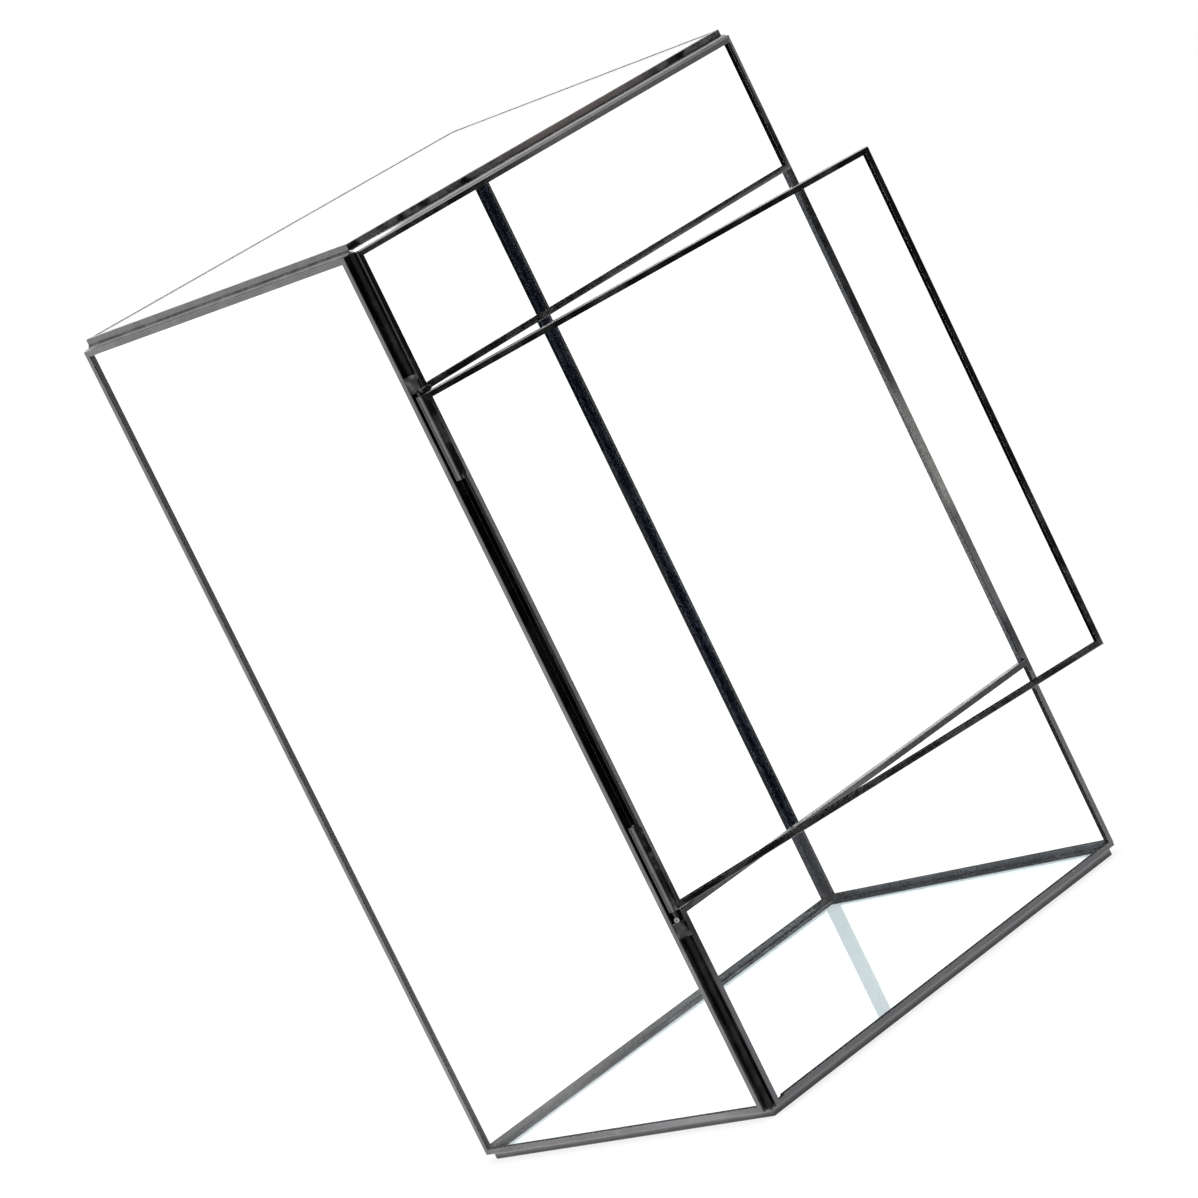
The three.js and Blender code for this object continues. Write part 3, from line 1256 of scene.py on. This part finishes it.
@dataclass
class Door:
    """The hinged door: its edging, glass and the two tubes that it turns on."""

    axis: Vector
    angle: float
    bottom: float
    top: float
    start: float = 0.95 * MM
    end: float = 177.2 * MM
    inner: float = 1.9 * MM
    widened: float = 0.25 * MM
    tube_radius: float = 1.5 * MM
    bore_radius: float = 1.0 * MM
    tube_sides: int = 40
    tube_rounding: float = 0.14 * MM

    @classmethod
    def from_frame(cls) -> "Door":
        """Reads the hinge axis and the door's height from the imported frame.

        Returns:
            The door.
        """
        joint = frame["joints"][0]
        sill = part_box("door_edge_bottom")[0].z
        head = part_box("door_edge_top")[1].z
        return cls(Vector(joint["pos_m"]), math.radians(joint["range_deg"][0]), sill, head)

    def origin(self) -> Vector:
        """The foot of the hinge axis."""
        return Vector((self.axis.x, self.axis.y, 0))

    def frame_of_axis(self) -> Matrix:
        """From the closed door's frame on the hinge axis to the row's frame."""
        return Matrix.Translation(self.origin()) @ Matrix.Rotation(self.angle, 4, "Z")

    def tube(self, low: float, high: float) -> Mesh:
        """Shapes a hinge tube.

        Args:
            low: the height of its lower end.
            high: the height of its upper end.

        Returns:
            The mesh, in the row's frame.
        """
        bm = bmesh.new()
        rings = []
        for radius in (self.bore_radius, self.tube_radius):
            ring = bmesh.ops.create_circle(
                bm, cap_ends=False, radius=radius, segments=self.tube_sides
            )
            rings += ring["verts"]
        edges = unique(e for v in rings for e in v.link_edges)
        ends = bmesh.ops.bridge_loops(bm, edges=edges)["faces"]
        _, moved = extruded(bm, ends)
        bmesh.ops.translate(bm, vec=Z * (high - low), verts=moved)
        bmesh.ops.recalc_face_normals(bm, faces=bm.faces)
        level = [e for e in bm.edges if near(e.verts[0].co.z, e.verts[1].co.z)]
        rims = [e for e in level if e.calc_face_angle(0.0) > 1.0]
        round_off(bm, rims, self.tube_rounding, 2)
        return settled(bm, self.frame_of_axis() @ Matrix.Translation(Z * low))

    def worn(self, edging: EdgedPane) -> Finish:
        """The door's edging finish, rubbed along its front between the tubes, with painted shade
        along its hinge edge.

        Args:
            edging: the door's edging.

        Returns:
            The finish.
        """
        turned = self.frame_of_axis().to_3x3()
        low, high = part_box("hinge_tube_lower")[1].z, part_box("hinge_tube_upper")[0].z
        across, outward = turned @ X, turned @ -Y
        front = edging.thickness - self.inner
        strip = self.start + edging.face + self.widened
        rubbed = (
            Span(across, self.start + 0.75 * MM, strip + 0.2 * MM, 0.6 * MM),
            Span(outward, front - 0.2 * MM, 2 * front, 0.1 * MM),
            Span(Z, low - 16 * MM, high + 16 * MM, 16 * MM),
        )
        # Painted shade along the door's hinge edge, beside the groove.
        shaded = (Span(across, self.start - 1 * MM, self.start + 0.5 * MM, 0.25 * MM),)
        stains = (
            Stain((0.15, 0.148, 0.15), 0.85, self.origin(), rubbed),
            Stain((0.02, 0.02, 0.021), 0.0, self.origin(), shaded),
        )
        return replace(Finishes().edging, name="door_patina_and_shade", matt=0.15, stains=stains)

    def shadowed(self) -> Finish:
        """The tubes' finish, with a painted shadow on the side that faces the groove.

        Returns:
            The finish.
        """
        aside = Vector((-0.78, 0.62, 0)).normalized()
        beside = (Span(aside, 0.9 * MM, 2 * MM, 0.3 * MM),)
        shadow = Stain((0.03, 0.03, 0.031), 0.0, self.origin(), beside)
        return replace(Finishes().tube, stains=(shadow,))

    def build(self, materials: Materials) -> None:
        """Makes the edging and the hinge tubes, and dresses the glass.

        Args:
            materials: the materials by slot or name.
        """
        where = self.frame_of_axis()
        base = placed(Vector((self.start, self.inner, self.bottom)), X, Z)
        nodes = [f"door_edge_{side}" for side in ("bottom", "free", "top", "hinge")]
        wide, high = self.end - self.start, self.top - self.bottom
        edging = EdgedPane("door", wide, high, where @ base, nodes, Body.DOOR, widened=self.widened)
        tube, worn = self.shadowed().material(), self.worn(edging).material()
        edging.build({**materials, Slot.EDGING: worn})
        for end in ("upper", "lower"):
            nodes = [f"hinge_tube_{end}"]
            low, high = (corner.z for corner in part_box(nodes[0]))
            piece(f"tube_{end}", self.tube(low, high), tube, Body.DOOR, nodes, True)
            bead, solder = TubeSolder(low, high).mesh(where), materials[Slot.SOLDER]
            piece(f"tube_solder_{end}", bead, solder, Body.DOOR, [], smooth=True)


@dataclass
class AnchorSolder:
    """The solder that fills the groove beyond a wire, from the wire's end to the far one.

    It is a little narrower at the wire, and sinks in the middle towards its far end.
    """

    corner: Vector
    start: float
    stop: float
    fill: float = 3.1 * MM
    flatter: float = 0.13
    steps: int = 12
    sunk: float = 0.55
    sunk_from: float = 0.45
    narrower: float = 0.12
    narrow_until: float = 0.2
    uneven: float = 0.03
    ripple: float = 1.6 * MM
    seed: Triple = (7, 3, 1)
    fullest: float = 1.02

    def mesh(self) -> Mesh:
        """Shapes the solder.

        Returns:
            The mesh, in the row's frame.
        """
        length = self.stop - self.start
        outline = [(0.0, 0.0, self.start)]
        for i in range(self.steps + 1):
            angle = math.pi / 2 * i / self.steps
            bulge = self.fill * (1 - self.flatter * math.sin(2 * angle))
            outline.append((-bulge * math.cos(angle), -bulge * math.sin(angle), self.start))
        bm = bar(outline, self.steps, Z * (length / self.steps))
        for v in bm.verts:
            share = (v.co.z - self.start) / length
            middle = math.sin(2 * math.atan2(-v.co.y, -v.co.x)) if v.co.xy.length > NEAR else 0.0
            sunk = max(0.0, share - self.sunk_from) / (1 - self.sunk_from)
            lift = max(0.0, self.narrow_until - share) / self.narrow_until
            scale = 1 - self.sunk * sunk**2 * max(middle, 0.0) - self.narrower * lift**2
            scale += self.uneven * noise.noise(v.co / self.ripple + Vector(self.seed))
            v.co.xy *= min(scale, self.fullest)
        return settled(bm, Matrix.Translation((self.corner.x, self.corner.y, 0)))


@dataclass
class HingeWires:
    """The wires that the door turns on, and the solder that holds each one to the box."""

    corner: Vector
    axis: Vector
    radius: float = 0.7 * MM
    sides: int = 32
    bend: float = 0.9 * MM
    bend_steps: int = 10
    reach: float = 0.44 * MM
    heading: float = 215.0
    flare: float = 0.85 * MM
    rim: float = 0.38 * MM
    cup_wall: float = 0.1 * MM
    cup_depth: float = 0.35 * MM

    def tip(self) -> Vector:
        """The middle of the lower wire's cut end.

        Returns:
            The place, in the row's frame.
        """
        turn = math.radians(self.heading)
        out = Vector((math.cos(turn), math.sin(turn), 0)) * (self.bend + self.reach)
        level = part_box("hinge_wire_lower")[0].z + self.radius
        return Vector((self.axis.x, self.axis.y, level)) + out

    def straight(self) -> Mesh:
        """Shapes the upper wire.

        Returns:
            The mesh, in the row's frame.
        """
        low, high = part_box("hinge_wire_upper")
        bm = bmesh.new()
        bmesh.ops.create_cone(
            bm, cap_ends=True, segments=self.sides,
            radius1=self.radius, radius2=self.radius, depth=high.z - low.z,
        )
        return settled(bm, Matrix.Translation((self.axis.x, self.axis.y, (low.z + high.z) / 2)))

    def bent(self) -> Mesh:
        """Shapes the lower wire, whose end turns out of the groove.

        Returns:
            The mesh, in the row's frame.
        """
        low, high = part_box("hinge_wire_lower")
        level = low.z + self.radius + self.bend
        bm = bmesh.new()
        ring = bmesh.ops.create_circle(
            bm, cap_ends=True, radius=self.radius, segments=self.sides
        )
        bmesh.ops.translate(bm, vec=(0, 0, high.z), verts=ring["verts"])
        (end,), moved = extruded(bm, bm.faces[:])
        bmesh.ops.translate(bm, vec=(0, 0, level - high.z), verts=moved)
        spun = bmesh.ops.spin(
            bm, geom=[end, *end.edges, *end.verts], cent=(self.bend, 0, level), axis=Y,
            angle=-math.pi / 2, steps=self.bend_steps, use_merge=False, use_duplicate=False,
        )["geom_last"]
        end = next(f for f in spun if isinstance(f, Face))
        _, moved = extruded(bm, [end])
        bmesh.ops.translate(bm, vec=X * self.reach, verts=moved)
        self._open_end(settled(bm))
        turn = Matrix.Rotation(math.radians(self.heading), 4, "Z")
        return settled(bm, Matrix.Translation((self.axis.x, self.axis.y, 0)) @ turn)

    def _open_end(self, bm: Mesh) -> None:
        """Flares the lower wire's cut end and sinks a cup in it.

        Args:
            bm: the wire's mesh, whose end points along x.
        """
        last = self.bend + self.reach - NEAR
        cap = next(f for f in bm.faces if all(v.co.x > last for v in f.verts))
        middle = Matrix.Translation(-cap.calc_center_median())
        flare = Matrix.Scale(self.flare / self.radius, 4)
        bmesh.ops.transform(bm, matrix=flare, space=middle, verts=cap.verts)
        bmesh.ops.inset_individual(bm, faces=[cap], thickness=self.rim, depth=0.0)
        bmesh.ops.inset_individual(
            bm, faces=[cap], thickness=self.cup_wall, depth=-self.cup_depth
        )

    def build(self, materials: Materials) -> None:
        """Makes the wires and their solder.

        Args:
            materials: the materials by slot or name.
        """
        finish = CutWire("cut_wire", (0.05, 0.05, 0.05), (0.34, 0.34, 0.34), tuple(self.tip()))
        wire, anchor = finish.material(), materials["anchor"]
        for end, mesh in (("upper", self.straight()), ("lower", self.bent())):
            piece(f"wire_{end}", mesh, wire, Body.BOX, [f"hinge_wire_{end}"])
            nodes = [f"hinge_anchor_{end}"]
            low, high = (corner.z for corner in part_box(nodes[0]))
            start, stop = (low, high) if end == "upper" else (high, low)
            blob = AnchorSolder(self.corner, start, stop).mesh()
            piece(f"wire_solder_{end}", blob, anchor, Body.BOX, nodes, smooth=True)


# Studio


@dataclass(frozen=True)
class Lamp:
    """A square soft lamp that hangs in the studio."""

    name: str
    place: Triple
    size: float
    power: float


@dataclass(frozen=True)
class Glare:
    """A light that only gloss shows: how bright, how far left of the front, and how wide."""

    level: float
    turn: float
    cone: Range


@dataclass
class Studio:
    """A pale floor in a soft white studio, with a camera at the photograph's place.

    White paper lies under and behind the terrarium. To its left stands a bright window, and the
    room in front is dark, which is what the metal's gloss shows. A cone is how far a direction has
    to lie along a light's own before the light begins to show, and shows in full.
    """

    centre: Vector
    corner: Vector
    azimuth: float = -39.527
    elevation: float = 9.142
    roll: float = 26.09
    lens: float = 170.63
    sensor: float = 36.0
    clip: Range = (0.05, 100.0)
    distance: float = 1836.66 * MM
    slide: Range = (-1.856 * MM, 1.602 * MM)
    ambient: float = 0.8
    dim: float = 0.035
    window: Glare = Glare(1.5, math.radians(101), (0.82, 0.95))
    beside_camera: Glare = Glare(1.45, math.radians(24), (0.70, 0.97))
    backdrop: float = 1.38
    backdrop_cone: Range = (0.25, 0.75)
    ceiling: float = 1.3
    ceiling_cone: Range = (0.45, 0.85)
    lift: float = 0.045
    paper: float = 1.1
    paper_edge: float = 0.045
    paper_fade: float = 0.045
    fibre: float = 60 * MM
    floor_radius: float = 1.3
    floor_sides: int = 96
    floor_sunk: float = 0.02 * MM
    shadow_share: float = 0.22
    hung: tuple[Lamp, ...] = (
        Lamp("lamp_left", (-1.5, 0.2, 1.3), 1.2, 14.0),
        Lamp("lamp_top", (0.4, -0.3, 1.9), 1.6, 16.0),
    )

    def _axes(self) -> tuple[Vector, Vector]:
        """The level directions of the view.

        Returns:
            The direction towards the camera, and to the right of its view.
        """
        turn = math.radians(self.azimuth)
        right = Vector((math.cos(turn), math.sin(turn), 0))
        return Vector((math.sin(turn), -math.cos(turn), 0)), right

    def _paths(self, shader: Shader) -> tuple[Value, Value, Value]:
        """Sorts rays.

        Args:
            shader: the shader to add nodes to.

        Returns:
            Whether a ray is the eye's, straight or through glass, whether something reflected it,
            and the white that makes up for the glass it came through.
        """
        path = shader.node("ShaderNodeLightPath").outputs
        eye = Value(shader, path["Is Camera Ray"])
        through = Value(shader, path["Is Transmission Ray"])
        # A depth counts from 0, so a step around a half tells none from any
        bounced = Value(shader, path["Glossy Depth"]).between(0.4, 0.6)
        white = 1.0 + self.lift * Value(shader, path["Transmission Depth"])
        return eye.largest(through) * (1.0 - bounced), bounced, white

    def _room(self, shader: Shader, way: Socket) -> Value:
        """What gloss shows in each direction.

        Args:
            shader: the shader to add nodes to.
            way: the direction, of length one.

        Returns:
            The brightness: a window on the left, a light near the camera and the backdrop.
        """
        front, right = self._axes()
        light: Number = self.dim
        for glare in (self.window, self.beside_camera):
            aim = front * math.cos(glare.turn) - right * math.sin(glare.turn)
            light = light + glare.level * shader.along(way, aim).between(*glare.cone)
        behind = shader.along(way, -front).between(*self.backdrop_cone)
        return light + self.backdrop * behind

    def _paper(self) -> Material:
        """Writes the floor's material.

        Returns:
            The material: paper to the eye, and to gloss the room, with the paper where it lies.
        """
        made = bpy.data.materials.new("white_paper")
        shader = Shader(made)
        fibre = shader.clouds(self.fibre, 2.0)
        tone = shader.blend(fibre, (0.985, 0.985, 0.985), (0.995, 0.995, 0.995))
        matt = shader.node("ShaderNodeBsdfDiffuse", {"Color": tone}).outputs[0]
        seen, bounced, level = self._paths(shader)
        front, _ = self._axes()
        edge = front.dot(self.corner) + self.paper_edge
        ahead = shader.along(shader.place, front)
        covered = 1.0 - ahead.between(edge, edge + self.paper_fade)
        away = shader.vectors("SUBTRACT", shader.place, self.corner)[0]
        room = self._room(shader, shader.vectors("NORMALIZE", away)[0])
        gloss = shader.glow(room.largest(self.paper * covered))
        pale = shader.mixed(seen * (1.0 - self.shadow_share), matt, shader.glow(level))
        shader.finish(shader.mixed(bounced, pale, gloss))
        return made

    def floor(self) -> None:
        """Makes the floor, which keeps the object's shadow."""
        bm = bmesh.new()
        bmesh.ops.create_circle(
            bm, cap_ends=True, radius=self.floor_radius, segments=self.floor_sides
        )
        bmesh.ops.translate(bm, vec=-Z * self.floor_sunk, verts=bm.verts)
        made = linked("floor", mesh_data("floor", bm))
        made.data.materials.append(self._paper())

    def surroundings(self) -> None:
        """Makes the world: white to the eye and through glass, and a soft studio to metal."""
        world = bpy.data.worlds.new("studio")
        bpy.context.scene.world = world
        shader = Shader(world)
        seen, bounced, white = self._paths(shader)
        over = shader.along(shader.way, Z).between(*self.ceiling_cone)
        room = self._room(shader, shader.way) + self.ceiling * over
        level = seen * white + bounced * room + self.ambient * (1.0 - seen.largest(bounced))
        light = {"Color": (1.0, 1.0, 1.0, 1.0), "Strength": level}
        shader.finish(shader.node("ShaderNodeBackground", light).outputs[0], world=True)

    def lamps(self) -> None:
        """Hangs the lamps, turned to the terrarium."""
        for row in self.hung:
            data = bpy.data.lights.new(row.name, "AREA")
            data.shape = "SQUARE"
            data.size = row.size
            data.energy = row.power
            lamp = linked(row.name, data)
            lamp.location = row.place
            lamp.rotation_mode = "QUATERNION"
            lamp.rotation_quaternion = (Vector(row.place) - self.centre).to_track_quat("Z", "Y")

    def camera(self) -> None:
        """Places the camera as the photograph was taken, rolled to one side."""
        lift, roll = math.radians(self.elevation), math.radians(self.roll)
        front, right = self._axes()
        back = front * math.cos(lift) + Z * math.sin(lift)
        up = back.cross(right)
        target = self.centre + right * self.slide[0] + up * self.slide[1]
        x = right * math.cos(roll) - up * math.sin(roll)
        y = right * math.sin(roll) + up * math.cos(roll)
        data = bpy.data.cameras.new("camera")
        data.lens = self.lens
        data.sensor_width = self.sensor
        data.clip_start, data.clip_end = self.clip
        made = linked("camera", data)
        turned = Matrix((x, y, back)).transposed().to_4x4()
        made.matrix_world = Matrix.Translation(target + back * self.distance) @ turned
        bpy.context.scene.camera = made

    def build(self) -> None:
        """Makes the floor, world, lamps and camera."""
        bpy.context.scene.view_settings.view_transform = "Standard"
        self.floor()
        self.surroundings()
        self.lamps()
        self.camera()
        log.info("studio: built")


def main() -> None:
    """Builds the terrarium and its studio."""
    logging.basicConfig(level=logging.INFO, format="%(name)s %(message)s")
    materials = Finishes().materials()
    carcass = Carcass.from_frame()
    carcass.build(materials)
    door = Door.from_frame()
    door.build(materials)
    HingeWires(carcass.low, door.axis).build(materials)
    Studio(carcass.low + carcass.size / 2, carcass.low).build()


if __name__ == "__main__":
    main()
